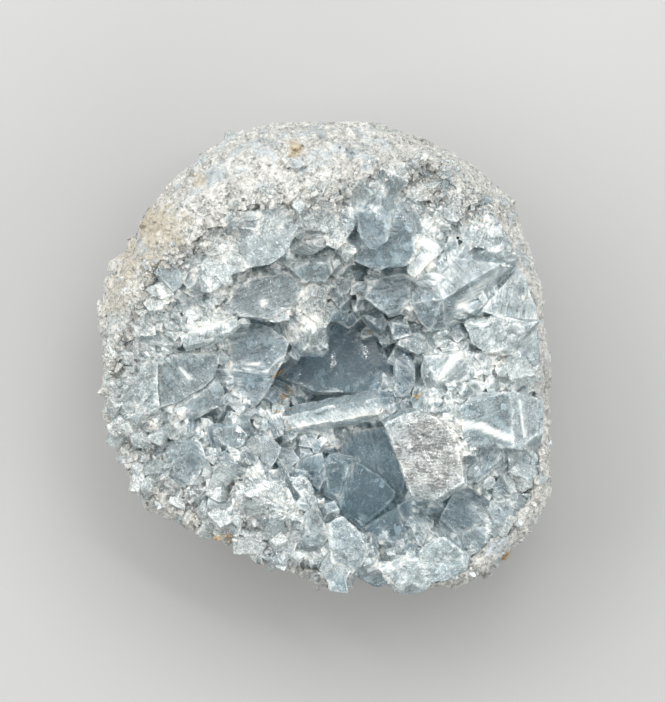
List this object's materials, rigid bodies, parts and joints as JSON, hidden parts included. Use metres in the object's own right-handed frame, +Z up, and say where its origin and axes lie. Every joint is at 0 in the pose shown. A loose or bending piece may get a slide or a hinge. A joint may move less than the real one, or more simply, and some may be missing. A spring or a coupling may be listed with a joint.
{
  "type": "celestite geode",
  "caption": "Half of a rounded celestite nodule, lying on its back: a pale rough rind round a hollow lined with blocky blue crystals.",
  "frame": {"origin": "centre of the small flat spot on the back of the rind, where the geode rests", "axes": "+Z up, out of the hollow; +X and +Y across it, to the right and to the far side for someone looking down into the crystals"},
  "size_m": [0.1137, 0.1183, 0.0695],
  "materials": {
    "rind": "rough, granular, chalky white with tan stains",
    "celestite": "clear to cloudy crystal with frosted and bright faces"
  },
  "bodies": {
    "root": {"rind": "rind", "crystal_crust": "celestite"}
  },
  "joints": []
}
